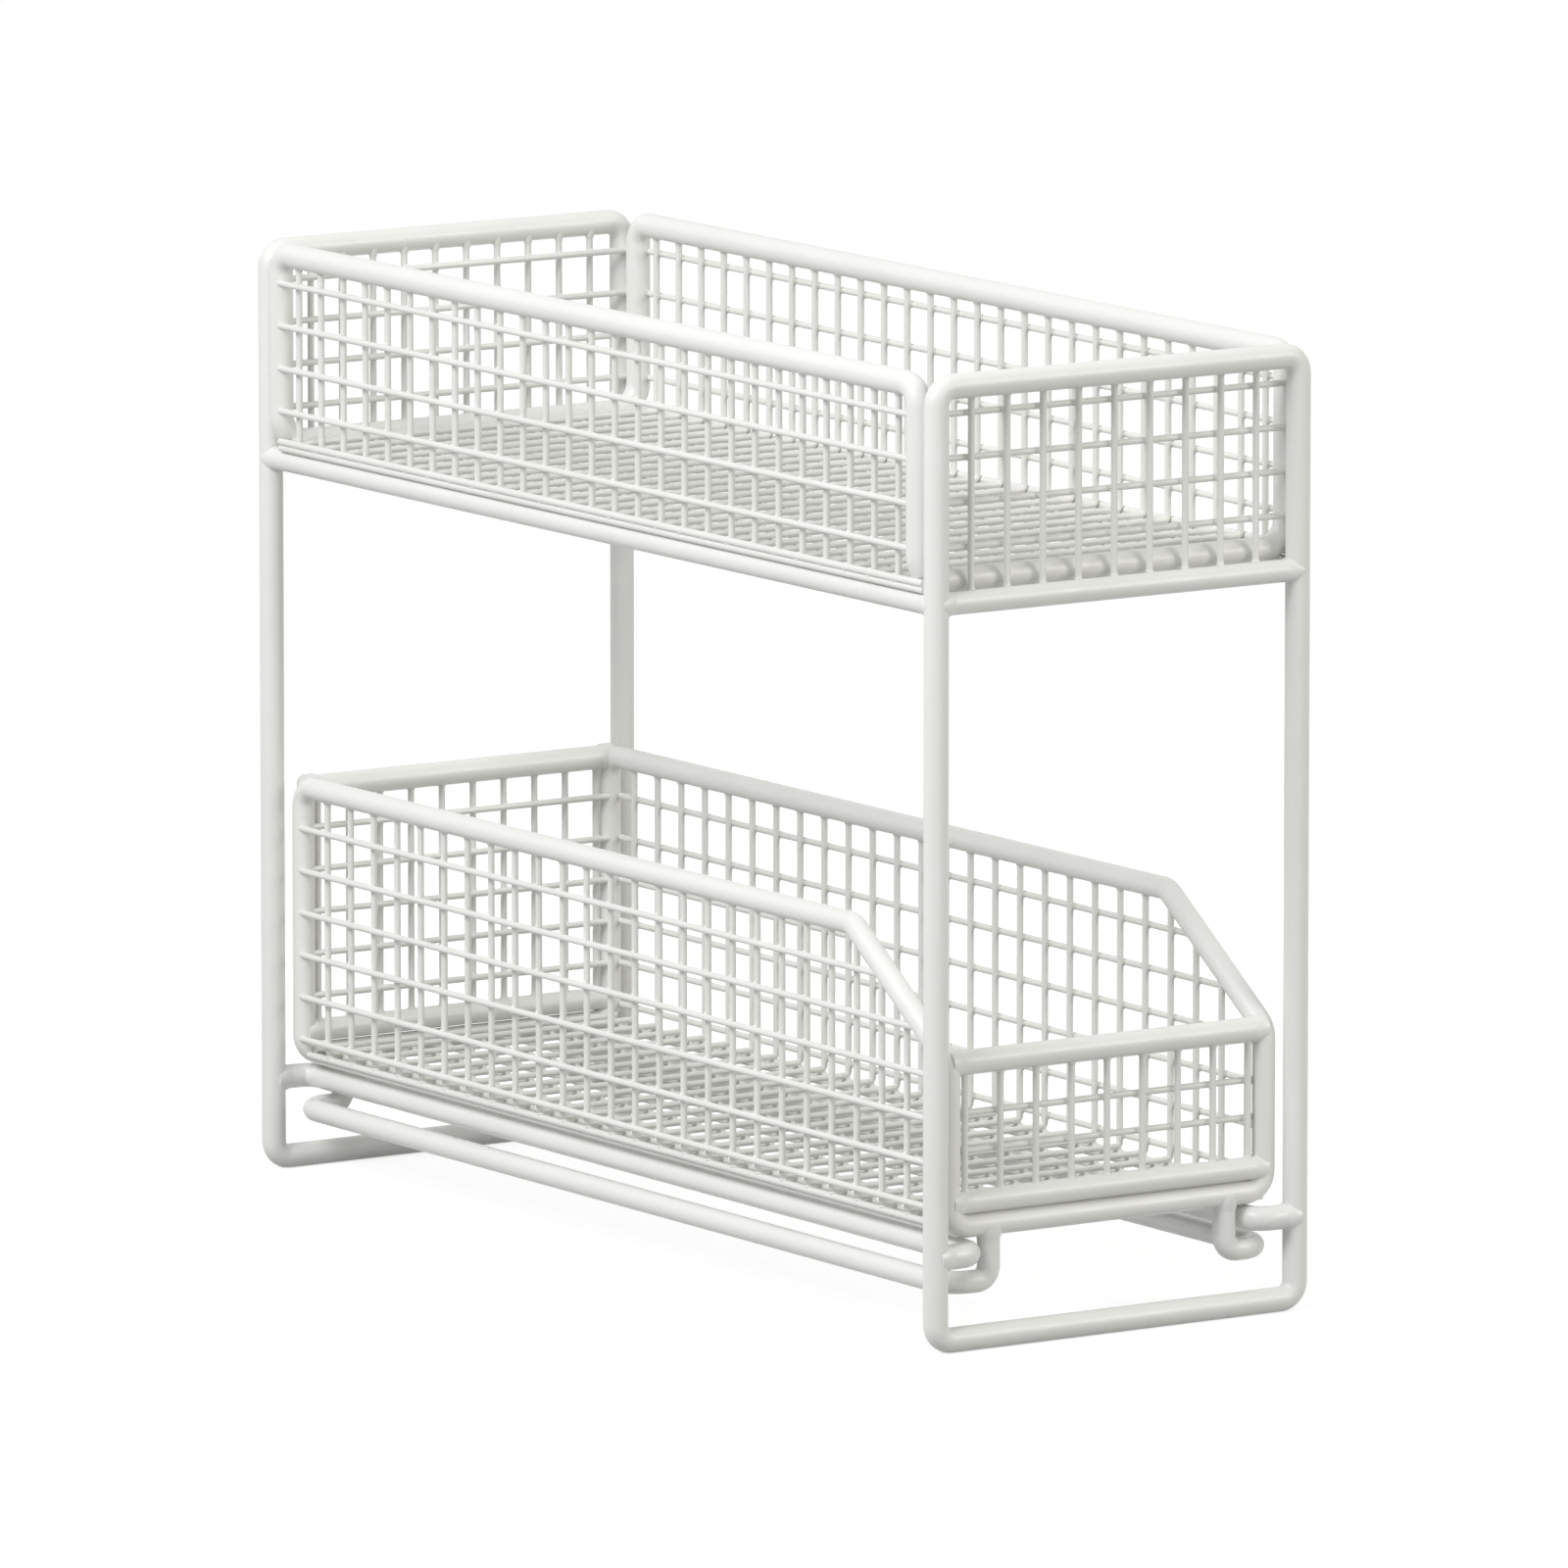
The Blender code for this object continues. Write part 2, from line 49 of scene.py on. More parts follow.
# The photograph's camera
AZIMUTH = math.radians(-33.54)
ELEVATION = math.radians(9.13)
DISTANCE = 5699.8 * MM
FOCAL_LENGTH = 439.1  # in the same unit as the sensor's width
SENSOR_WIDTH = 36.0
AIM_HEIGHT = 142.97 * MM
AIM_RIGHT = 2.96 * MM
AIM_DOWN = 5.35 * MM
VIEW_END = 100.0

# Floor and light
FLOOR_HALF = 8.0
FLOOR_CELLS = 8
FLOOR_SHADE = 0.36
FLOOR_GLOW = 0.77  # what the camera sees on top of the shade
FLOOR_ROUGHNESS = 0.9
FLOOR_SPECULAR = 0.1
WHITE = (1, 1, 1, 1)
SKY_LIGHT = 0.53
LAMP_SIZE = 1.0
KEY_PLACE = (-1.75, -0.4, 1.7)
KEY_WATTS = 40
KEY_COLOUR = (0.985, 0.99, 1.0)
FILL_PLACE = (1.3, -1.9, 1.0)
FILL_WATTS = 15
FILL_COLOUR = (1.0, 0.98, 0.9)

# Powder coats: colour, colour of the mottling, and roughness
FRAME_COAT = ((0.80, 0.80, 0.775), (0.77, 0.77, 0.74), 0.36)
RIM_COAT = ((0.80, 0.80, 0.775), (0.78, 0.775, 0.75), 0.36)
MESH_COAT = ((0.79, 0.79, 0.76), (0.75, 0.75, 0.715), 0.4)
RUNNER_COAT = ((0.80, 0.80, 0.78), (0.77, 0.77, 0.745), 0.34)

# What all coats share. A noise is a scale, in cycles a metre, and a detail, in octaves.
COAT_IOR = 1.5
CLEAR_WEIGHT = 0.12
CLEAR_ROUGHNESS = 0.2
NOISE_ENDS = (0.3, 0.7)  # nearly all of a noise lies between them
MOTTLE_NOISE = (35, 3)
GLOSS_NOISE = (160, 4)
GLOSS_CHANGE = (-0.05, 0.07)  # of the roughness
PEEL_NOISE = (900, 2)
PEEL_STRENGTH = 0.5
PEEL_DEPTH = 0.05 * MM
RIPPLE_NOISE = (220, 1)
RIPPLE_STRENGTH = 0.4
RIPPLE_DEPTH = 0.12 * MM
SCUFF_NOISE = (1500, 3)
SCUFF_STRETCH = 0.04  # of the noise's scale along Y, which makes streaks of it
SCUFF_FACING = (0.9, 1.0)  # how far up a surface faces where the scuffs start, and where they are full
SCUFF_SHARE = 0.7  # of the scuff's colour at most
SCUFF_COLOUR = (0.62, 0.62, 0.60)
SCUFF_SHINE = 0.15  # off the roughness

# Wires
LOOP_RADIUS = 3.7 * MM
RIM_RADIUS = 3.7 * MM
DRAWER_RIM_RADIUS = 3.4 * MM
GUIDE_RADIUS = 3.4 * MM
FLAT_SHARE = math.cos(math.pi / 10)  # the solids' wires have ten flats
MESH_WIRE = 2.0 * MM
MESH_RADIUS = MESH_WIRE / 2
BORDER_SHARE = 1.1  # of the mesh wire
FRAME_BEND = 5.2 * MM
RIM_BEND = 6.2 * MM
RIM_FOOT_BEND = 8.5 * MM  # where the upper rim turns in across the ends
RUNNER_BEND = 5.0 * MM
GUIDE_BEND = 7.5 * MM
HOOK_BEND = 4.2 * MM
WALL_BEND = 1.3 * MM  # where an upright turns under the basket
SLOPE_LENGTH = 49.6 * MM
FRONT_HEIGHT = 48.5 * MM  # of the drawer's front, above its bottom rod

# Mesh
MESH_PITCH = 12.5 * MM
REAR_PITCH = 11.2 * MM
DRAWER_PITCH = 13.15 * MM
DRAWER_FIRST_UPRIGHT = 13.9 * MM  # before the drawer's rear end
ROW_PITCH = 13.0 * MM
UPPER_FIRST_ROW = 8.5 * MM
DRAWER_FIRST_ROW = 12.5 * MM
SQUARE_HALF = MESH_WIRE * math.sqrt(math.pi) / 4  # the solids' mesh wires are square
FLOOR_SAG = {"upper": 0.6 * MM, "drawer": 0}  # of a mesh floor, below its plain solid

# Wires along the lower edges
BORDER_TUCK = 0.5 * MM  # the drawer's base wires stay inside its walls by this much
BORDER_LEDGE = 1.4 * MM  # the upper basket's lie outside its walls, on the side rails
SKIRT_TURN = math.radians(24)  # down from level, from an upright's bend to the wire outside it
KEEL_TURN = math.radians(50)  # down from level, from the drawer's base wire to the one under it
EDGE_SETBACK = 2.0 * MM  # at the rear, from the middle of the rod
EDGE_REACH = {"upper": 5.1 * MM, "drawer": 1.2 * MM}  # at the front, past the middle of the rod

# Welds
FLARE_SHARE = 1.12  # of a rail's radius, where it is welded to a post
FLARE_REACH = 1.6 * MM
FLARE_PARTS = 3  # a flare loses all but one part of its swell in the first part of its reach
MESH_FLARE_SHARE = 1.3
MESH_FLARE_REACH = 0.9 * MM
BEAD_WIDTH_SHARE = 0.62  # of the mesh wire, from a bead's middle to its edge
BEAD_DEPTH_SHARE = 0.27
FOOT_BEAD_SHARE = 0.3  # of the rim's radius, from the middle of the bead under its foot
FOOT_BEAD_LENGTH_SHARE = 0.6
SEAM_RADIUS = 0.9 * MM  # of the paint that fills the seam between a post and the rim

# Facets
THICK_SIDES = 24
THIN_SIDES = 12
BEND_STEPS = 8  # in a quarter turn
LEAST_STEPS = 3  # in any bend
BALL_CUTS = 2
SHARP_ANGLE = math.radians(60)


def core(node, radius):
    """The lowest and highest places of a rim's centre line. It ends in flats in Y and on top."""
    low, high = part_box(node)
    flat = radius * FLAT_SHARE
    return low + Vector((radius, flat, radius)), high - Vector((radius, flat, flat))


def middle(node):
    """The middle of a solid's box."""
    low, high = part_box(node)
    return (low + high) / 2


def radius_of(node, axis):
    """Half of a solid's thickness along an axis."""
    low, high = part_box(node)
    return (high[axis] - low[axis]) / 2


# Places that several pieces share, read from the solids
LOOP_FLAT = radius_of("front_frame_loop", 1)
POST_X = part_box("front_frame_loop")[1].x - LOOP_FLAT
TOP_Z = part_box("front_frame_loop")[1].z - LOOP_FLAT
LOOP_Y = middle("rear_frame_loop").y
RAIL_RADIUS = radius_of("upper_front_crossbar", 2)
LOWER_RAIL_Z = middle("upper_front_crossbar").z
RIM_LOW, RIM_HIGH = core("upper_basket_rim", RIM_RADIUS)
DRAWER_LOW, DRAWER_HIGH = core("drawer_rim", DRAWER_RIM_RADIUS)
ROD_Z = DRAWER_LOW.z
DRAWER_TOP_Z = DRAWER_HIGH.z
SLOPE_FOOT_Z = ROD_Z + FRONT_HEIGHT
SLOPE = (DRAWER_TOP_Z - SLOPE_FOOT_Z) / SLOPE_LENGTH


def feed(tree, source, socket):
    """Gives a node's input a colour, a number, or a link from another node's output."""
    if isinstance(source, tuple):
        socket.default_value = (*source, 1)
    elif isinstance(source, (int, float)):
        socket.default_value = source
    else:
        tree.links.new(source, socket)


def noise(tree, place, setting):
    """The value of a noise at each place."""
    scale, detail = setting
    texture = tree.nodes.new("ShaderNodeTexNoise")
    texture.inputs["Scale"].default_value = scale
    texture.inputs["Detail"].default_value = detail
    tree.links.new(place, texture.inputs["Vector"])
    return texture.outputs["Fac"]


def remap(tree, value, new_ends, ends=NOISE_ENDS):
    """A value spread from one range to another, and held inside it."""
    spread = tree.nodes.new("ShaderNodeMapRange")
    spread.inputs["From Min"].default_value = ends[0]
    spread.inputs["From Max"].default_value = ends[1]
    spread.inputs["To Min"].default_value = new_ends[0]
    spread.inputs["To Max"].default_value = new_ends[1]
    tree.links.new(value, spread.inputs["Value"])
    return spread.outputs["Result"]


def combine(tree, operation, *terms, clamp=False):
    """The outcome of a sum. Its terms are numbers or other nodes' outputs."""
    node = tree.nodes.new("ShaderNodeMath")
    node.operation = operation
    node.use_clamp = clamp
    for term, socket in zip(terms, node.inputs):
        feed(tree, term, socket)
    return node.outputs["Value"]


def mix_colours(tree, factor, first, second):
    """A colour between two others."""
    node = tree.nodes.new("ShaderNodeMix")
    node.data_type = "RGBA"
    feed(tree, first, node.inputs["A"])
    feed(tree, second, node.inputs["B"])
    feed(tree, factor, node.inputs["Factor"])
    return node.outputs["Result"]


def bump(tree, height, strength, depth, under=None):
    """Bumps of a depth, on top of the ones under them."""
    node = tree.nodes.new("ShaderNodeBump")
    node.inputs["Strength"].default_value = strength
    node.inputs["Distance"].default_value = depth
    tree.links.new(height, node.inputs["Height"])
    if under:
        tree.links.new(under, node.inputs["Normal"])
    return node.outputs["Normal"]


def scuff(tree, place, tint, gloss):
    """The coat's colour and roughness, with fine rubbed streaks along Y on the upper side of a wire."""
    stretch = tree.nodes.new("ShaderNodeMapping")
    stretch.inputs["Scale"].default_value = (1, SCUFF_STRETCH, 1)
    tree.links.new(place, stretch.inputs["Vector"])
    streaks = remap(tree, noise(tree, stretch.outputs["Vector"], SCUFF_NOISE), (0, SCUFF_SHARE))
    surface = tree.nodes.new("ShaderNodeNewGeometry")
    facing = tree.nodes.new("ShaderNodeSeparateXYZ")
    tree.links.new(surface.outputs["Normal"], facing.inputs["Vector"])
    upper = remap(tree, facing.outputs["Z"], (0, 1), SCUFF_FACING)
    worn = combine(tree, "MULTIPLY", upper, streaks)
    rubbed = mix_colours(tree, worn, tint, SCUFF_COLOUR)
    return rubbed, combine(tree, "MULTIPLY_ADD", worn, -SCUFF_SHINE, gloss)


def powder_coat(name, colour, shade, roughness, scuffed=False):
    """White powder coat: a faint orange peel, uneven gloss, and scuffs where metal slides on it."""
    material = bpy.data.materials.new(name)
    material.use_nodes = True
    tree = material.node_tree
    shader = tree.nodes["Principled BSDF"]
    shader.inputs["IOR"].default_value = COAT_IOR
    shader.inputs["Coat Weight"].default_value = CLEAR_WEIGHT
    shader.inputs["Coat Roughness"].default_value = CLEAR_ROUGHNESS

    place = tree.nodes.new("ShaderNodeTexCoord").outputs["Object"]
    mottle = remap(tree, noise(tree, place, MOTTLE_NOISE), (0, 1))
    tint = mix_colours(tree, mottle, colour, shade)
    ends = [roughness + change for change in GLOSS_CHANGE]
    gloss = remap(tree, noise(tree, place, GLOSS_NOISE), ends)
    if scuffed:
        tint, gloss = scuff(tree, place, tint, gloss)
    peel = bump(tree, noise(tree, place, PEEL_NOISE), PEEL_STRENGTH, PEEL_DEPTH)
    ripple = bump(tree, noise(tree, place, RIPPLE_NOISE), RIPPLE_STRENGTH, RIPPLE_DEPTH, peel)
    tree.links.new(tint, shader.inputs["Base Color"])
    tree.links.new(gloss, shader.inputs["Roughness"])
    tree.links.new(ripple, shader.inputs["Normal"])
    return material


def arc(before, corner, after, bend):
    """The points of the bend that rounds one corner."""
    back = (before - corner).normalized()
    ahead = (after - corner).normalized()
    half_turn = (math.pi - back.angle(ahead)) / 2
    reach = bend * math.tan(half_turn)
    centre = corner + (back + ahead).normalized() * bend / math.cos(half_turn)
    first = corner + back * reach - centre
    axis = first.cross(corner + ahead * reach - centre)
    steps = max(LEAST_STEPS, round(BEND_STEPS * 2 * half_turn / (math.pi / 2)))
    turns = [Matrix.Rotation(2 * half_turn * step / steps, 3, axis) for step in range(steps + 1)]
    return [centre + turn @ first for turn in turns]


def bent(corners, bend, closed=False):
    """A wire's centre line, with each corner bent. The bend is one radius, or one for each corner."""
    corners = [Vector(corner) for corner in corners]
    bends = bend if isinstance(bend, tuple) else (bend,) * len(corners)
    path = []
    for index, corner in enumerate(corners):
        if not closed and index in (0, len(corners) - 1):
            path.append(corner)
        else:
            after = corners[(index + 1) % len(corners)]
            path.extend(arc(corners[index - 1], corner, after, bends[index]))
    return path


def both_sides(profile, first_x, last_x):
    """Corners of a wire that runs along one side of a basket and back along the other."""
    return [(first_x, y, z) for y, z in profile] + [(last_x, y, z) for y, z in profile[::-1]]


def even(path, share=1.0):
    """A wire of one thickness, as pairs of a point and its share of the radius."""
    return [(Vector(point), share) for point in path]


def flared(path, sinks, reach=FLARE_REACH, share=FLARE_SHARE):
    """A wire that swells at its ends into welds. A sink is an end's length inside its neighbour."""
    path = [Vector(point) for point in path]
    knee_share = 1 + (share - 1) / FLARE_PARTS
    halves = []
    for end, inner, sink in ((path[0], path[1], sinks[0]), (path[-1], path[-2], sinks[1])):
        along = (inner - end).normalized()
        halves.append([
            (end, share),
            (end + along * sink, share),
            (end + along * (sink + reach / FLARE_PARTS), knee_share),
            (end + along * (sink + reach), 1.0),
        ])
    return halves[0] + even(path[1:-1]) + halves[1][::-1]


def tube_mesh(name, wires, radius, sides, closed=False):
    """A mesh of round wires."""
    curve = bpy.data.curves.new(name, "CURVE")
    curve.dimensions = "3D"
    curve.bevel_depth = radius
    curve.bevel_resolution = sides // 2 - 2  # a round bevel has four sides more than twice this
    curve.use_fill_caps = True
    for wire in wires:
        spline = curve.splines.new("POLY")
        spline.points.add(len(wire) - 1)
        for point, (place, share) in zip(spline.points, wire):
            point.co = (*place, 1)
            point.radius = share
        spline.use_cyclic_u = closed
    guide = bpy.data.objects.new(name, curve)
    bpy.context.scene.collection.objects.link(guide)
    graph = bpy.context.evaluated_depsgraph_get()
    mesh = bpy.data.meshes.new_from_object(guide.evaluated_get(graph), depsgraph=graph)
    bpy.data.objects.remove(guide)
    bpy.data.curves.remove(curve)
    return mesh


def ball():
    """The points of a small ball of radius 1, and its faces as numbers of points."""
    shape = bmesh.new()
    bmesh.ops.create_icosphere(shape, subdivisions=BALL_CUTS, radius=1)
    shape.verts.index_update()
    points = [vertex.co.copy() for vertex in shape.verts]
    faces = [[vertex.index for vertex in face.verts] for face in shape.faces]
    shape.free()
    return points, faces


def add_beads(mesh, beads):
    """Adds drops of weld to a mesh: each has a place and three half sizes."""
    ball_points, ball_faces = ball()
    points = []
    faces = []
    for place, size in beads:
        faces += [[len(points) + number for number in face] for face in ball_faces]
        points += [place + Vector(size) * point for point in ball_points]
    drops = bpy.data.meshes.new("drops")
    drops.from_pydata(points, [], faces)
    shape = bmesh.new()
    shape.from_mesh(mesh)
    shape.from_mesh(drops)
    shape.to_mesh(mesh)
    shape.free()
    bpy.data.meshes.remove(drops)


def link_object(name, data):
    thing = bpy.data.objects.new(name, data)
    bpy.context.scene.collection.objects.link(thing)
    return thing


def add_piece(name, mesh, body, nodes, material):
    """A piece that rides on a body and stands for its solids."""
    mesh.materials.append(material)
    mesh.shade_smooth()
    mesh.set_sharp_from_angle(angle=SHARP_ANGLE)
    piece = link_object(name, mesh)
    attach(piece, body)
    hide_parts(*nodes)


def add_wire(node, body, wire, radius, material, closed=False, beads=()):
    """One thick wire in place of its solid."""
    mesh = tube_mesh(node, [wire], radius, THICK_SIDES, closed)
    add_beads(mesh, beads)
    add_piece("round_" + node, mesh, body, [node], material)


def steps_out(half_span, pitch, first=0):
    """Places at a pitch out from the middle, both ways."""
    count = int((half_span - first) / pitch) + 1
    right = [first + index * pitch for index in range(count)]
    return sorted({x for place in right for x in (-place, place)})


def rows_down(first, low):
    """Heights of the rows from the first one down."""
    count = int((first - low - MESH_WIRE) / ROW_PITCH) + 1
    return [first - index * ROW_PITCH for index in range(count)]


def end_uprights(tier):
    """Places across the rack of the uprights in a basket's front and rear walls."""
    half_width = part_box(tier + "_mesh_front")[1].x - SQUARE_HALF
    return {
        "front": steps_out(half_width, MESH_PITCH),
        "rear": steps_out(half_width, REAR_PITCH, REAR_PITCH / 2),
    }


def bead_size(axis):
    """Half sizes of a bead between two crossing wires that lie against each other along an axis."""
    size = [MESH_WIRE * BEAD_WIDTH_SHARE] * 3
    size[axis] = MESH_WIRE * BEAD_DEPTH_SHARE
    return size


def lower_edge(tier, wall_x, floor_z):
    """Places in X and Z of the wires along a basket's lower edge: the base wire, and one against it."""
    base_z = floor_z - MESH_WIRE
    if tier == "drawer":
        base_x = wall_x - BORDER_TUCK
        keel = (base_x - MESH_WIRE * math.cos(KEEL_TURN), base_z - MESH_WIRE * math.sin(KEEL_TURN))
        return [(base_x, base_z), keel]
    reach = WALL_BEND + MESH_WIRE
    skirt_x = wall_x - WALL_BEND + reach * math.cos(SKIRT_TURN)
    skirt_z = floor_z + WALL_BEND - reach * math.sin(SKIRT_TURN)
    return [(wall_x + BORDER_LEDGE, base_z), (skirt_x, skirt_z)]


def trough_walls(tier, columns, rows, rod_y, wall_x, end_y, floor_z):
    """The long walls of a basket: uprights bent under it in one wire, and the wires along them."""
    edge = lower_edge(tier, wall_x, floor_z)
    base_x, base_z = edge[0]
    row_x = wall_x + MESH_WIRE
    weld_x = wall_x + MESH_RADIUS
    weld_z = base_z + MESH_RADIUS
    bar_x = wall_x - MESH_RADIUS
    wires = []
    beads = []
    for y, top, sink in columns:
        corners = [(-wall_x, y, top), (-wall_x, y, floor_z), (wall_x, y, floor_z), (wall_x, y, top)]
        path = bent(corners, WALL_BEND)
        wires.append(flared(path, (sink, sink), MESH_FLARE_REACH, MESH_FLARE_SHARE))
    for side in (-1, 1):
        for z, front, rear in rows:
            wires.append(even([(side * row_x, front, z), (side * row_x, rear, z)]))
            crossed = [y for y, top, sink in columns if top - sink > z and y > front]
            beads += [(Vector((side * weld_x, y, z)), bead_size(0)) for y in crossed]
        for x, z in edge:
            path = [(side * x, y, z) for y in (-rod_y - EDGE_REACH[tier], rod_y - EDGE_SETBACK)]
            wires.append(even(path, BORDER_SHARE))
        beads += [(Vector((side * base_x, y, weld_z)), bead_size(2)) for y, top, sink in columns]
        bar_y = side * (end_y - MESH_RADIUS)
        wires.append(even([(-bar_x, bar_y, floor_z), (bar_x, bar_y, floor_z)], BORDER_SHARE))
    return wires, beads


def trough_floor(columns, rod_y, wall_x, floor_z):
    """The wires along a basket's floor, under the ones that cross it, from rod to rod."""
    wires = []
    beads = []
    for x in steps_out(wall_x - MESH_WIRE * 2, MESH_PITCH):
        wires.append(even([(x, -rod_y, floor_z - MESH_WIRE), (x, rod_y, floor_z - MESH_WIRE)]))
        beads += [(Vector((x, y, floor_z - MESH_RADIUS)), bead_size(2)) for y, top, sink in columns]
    return wires, beads


def add_trough(tier, body, columns, rows, rod_y, coat):
    """A basket's long walls and floor. A column is (y, top z, sink), a row is (z, front y, rear y)."""
    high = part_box(tier + "_mesh_right")[1]
    wall_x = high.x - SQUARE_HALF - MESH_WIRE
    floor_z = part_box(tier + "_mesh_floor")[1].z - SQUARE_HALF - FLOOR_SAG[tier]
    wall_wires, wall_beads = trough_walls(tier, columns, rows, rod_y, wall_x, high.y, floor_z)
    floor_wires, floor_beads = trough_floor(columns, rod_y, wall_x, floor_z)
    mesh = tube_mesh(tier + "_trough", wall_wires + floor_wires, MESH_RADIUS, THIN_SIDES)
    add_beads(mesh, wall_beads + floor_beads)
    nodes = [tier + "_mesh_" + part for part in ("left", "right", "floor")]
    add_piece(tier + "_mesh_trough", mesh, body, nodes, coat)


def add_end_mesh(tier, end, body, columns, rows, span, row_reach, sinks, coat):
    """An end wall of mesh: uprights that span two rails, with the rows inside them."""
    node = tier + "_mesh_" + end
    low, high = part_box(node)
    outward = -1 if end == "front" else 1
    outer_y = low.y if end == "front" else high.y
    plane_y = outer_y - outward * SQUARE_HALF
    row_y = plane_y - outward * MESH_WIRE
    weld_y = (plane_y + row_y) / 2
    wires = []
    beads = []
    for x in columns:
        path = [(x, plane_y, z) for z in span]
        wires.append(flared(path, sinks, MESH_FLARE_REACH, MESH_FLARE_SHARE))
    for z in rows:
        wires.append(even([(-row_reach, row_y, z), (row_reach, row_y, z)]))
        beads += [(Vector((x, weld_y, z)), bead_size(1)) for x in columns]
    mesh = tube_mesh(node, wires, MESH_RADIUS, THIN_SIDES)
    add_beads(mesh, beads)
    add_piece(tier + "_wires_" + end, mesh, body, [node], coat)


def add_loops(coat):
    """The end loops: two posts, a top rail and a foot bar in one bent wire."""
    profile = [(-POST_X, LOOP_RADIUS), (POST_X, LOOP_RADIUS), (POST_X, TOP_Z), (-POST_X, TOP_Z)]
    for end, y in (("front", -LOOP_Y), ("rear", LOOP_Y)):
        wire = even(bent([(x, y, z) for x, z in profile], FRAME_BEND, True))
        mesh = tube_mesh(end + "_loop", [wire], LOOP_RADIUS, THICK_SIDES, True)
        add_piece("round_" + end + "_loop", mesh, "frame", [end + "_frame_loop"], coat)


def add_seams(coat):
    """Thin fillets of weld and paint between the posts and the upper rim's uprights."""
    wires = []
    for side_x in (-1, 1):
        for side_y in (-1, 1):
            x = side_x * (POST_X + RIM_HIGH.x) / 2
            y = side_y * (LOOP_Y + RIM_HIGH.y) / 2
            wires.append(even([(x, y, RIM_LOW.z + RIM_FOOT_BEND), (x, y, TOP_Z - RIM_BEND)]))
    mesh = tube_mesh("post_seams", wires, SEAM_RADIUS, THIN_SIDES)
    mesh.materials.append(coat)
    mesh.shade_smooth()
    piece = link_object("post_seams", mesh)
    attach(piece, "frame")


def add_rails(coat):
    """The rails under the upper basket, welded to the posts."""
    paths = {}
    for end, y in (("front", -LOOP_Y), ("rear", LOOP_Y)):
        paths["upper_" + end + "_crossbar"] = [(x, y, LOWER_RAIL_Z) for x in (-POST_X, POST_X)]
    for side, x in (("left", -POST_X), ("right", POST_X)):
        paths["upper_" + side + "_side_rail"] = [(x, y, LOWER_RAIL_Z) for y in (-LOOP_Y, LOOP_Y)]
    for node, path in paths.items():
        wire = flared(path, (LOOP_RADIUS, LOOP_RADIUS))
        add_wire(node, "frame", wire, RAIL_RADIUS, coat)


def add_runners(coat):
    """The runners, each a U of wire welded to the front and rear posts."""
    radius = radius_of("left_runner", 2)
    for name, side in (("left_runner", -1), ("right_runner", 1)):
        low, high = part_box(name)
        inner_x = side * (min(abs(low.x), abs(high.x)) + radius * FLAT_SHARE)
        across = (side * POST_X, inner_x)
        z = middle(name).z
        corners = [(x, -LOOP_Y, z) for x in across] + [(x, LOOP_Y, z) for x in across[::-1]]
        wire = flared(bent(corners, RUNNER_BEND), (LOOP_RADIUS, LOOP_RADIUS))
        add_wire(name, "frame", wire, radius, coat)


def add_guides(coat):
    """Guide wires: outside and below the runners, hooked under them and up to the drawer's rods."""
    bends = (0, HOOK_BEND, GUIDE_BEND, GUIDE_BEND, HOOK_BEND, 0)
    for name, side in (("left_guide_wire", -1), ("right_guide_wire", 1)):
        low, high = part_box(name)
        outer_x = side * (max(abs(low.x), abs(high.x)) - GUIDE_RADIUS)
        leg_x = side * (min(abs(low.x), abs(high.x)) + GUIDE_RADIUS * FLAT_SHARE)
        end_y = high.y - GUIDE_RADIUS
        base_z = low.z + GUIDE_RADIUS * FLAT_SHARE
        hook = [(leg_x, ROD_Z), (leg_x, base_z), (outer_x, base_z)]
        corners = [(x, -end_y, z) for x, z in hook] + [(x, end_y, z) for x, z in hook[::-1]]
        wire = flared(bent(corners, bends), (DRAWER_RIM_RADIUS, DRAWER_RIM_RADIUS))
        add_wire(name, "drawer", wire, GUIDE_RADIUS, coat)


def add_upper_rim(coat):
    """The upper rim: its sides, down inside the posts, and across under both ends on the side rails."""
    profile = [(RIM_HIGH.y, RIM_LOW.z), (RIM_HIGH.y, TOP_Z), (RIM_LOW.y, TOP_Z), (RIM_LOW.y, RIM_LOW.z)]
    bends = (RIM_FOOT_BEND, RIM_BEND, RIM_BEND, RIM_FOOT_BEND) * 2
    wire = even(bent(both_sides(profile, RIM_HIGH.x, RIM_LOW.x), bends, True))
    width = RIM_RADIUS * FOOT_BEAD_SHARE
    size = (width, RIM_RADIUS * FOOT_BEAD_LENGTH_SHARE, width)
    lean = math.asin((POST_X - RIM_HIGH.x + RIM_FOOT_BEND) / (RAIL_RADIUS + RIM_RADIUS + RIM_FOOT_BEND))
    weld_x = POST_X - RAIL_RADIUS * math.sin(lean)
    weld_z = LOWER_RAIL_Z + RAIL_RADIUS * math.cos(lean)
    beads = [(Vector((x, y, weld_z)), size) for x in (-weld_x, weld_x) for y in (RIM_LOW.y, RIM_HIGH.y)]
    add_wire("upper_basket_rim", "frame", wire, RIM_RADIUS, coat, True, beads)


def add_upper_mesh(coat):
    low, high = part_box("upper_mesh_right")
    columns = [(y, TOP_Z, RIM_RADIUS) for y in steps_out(high.y, MESH_PITCH)]
    heights = rows_down(TOP_Z - UPPER_FIRST_ROW, low.z)
    rows = [(z, RIM_LOW.y, RIM_HIGH.y) for z in heights]
    add_trough("upper", "frame", columns, rows, RIM_HIGH.y, coat)
    span = (LOWER_RAIL_Z, TOP_Z)
    sinks = (RAIL_RADIUS, LOOP_RADIUS)
    for end, places in end_uprights("upper").items():
        add_end_mesh("upper", end, "frame", places, heights, span, RIM_HIGH.x - MESH_RADIUS, sinks, coat)


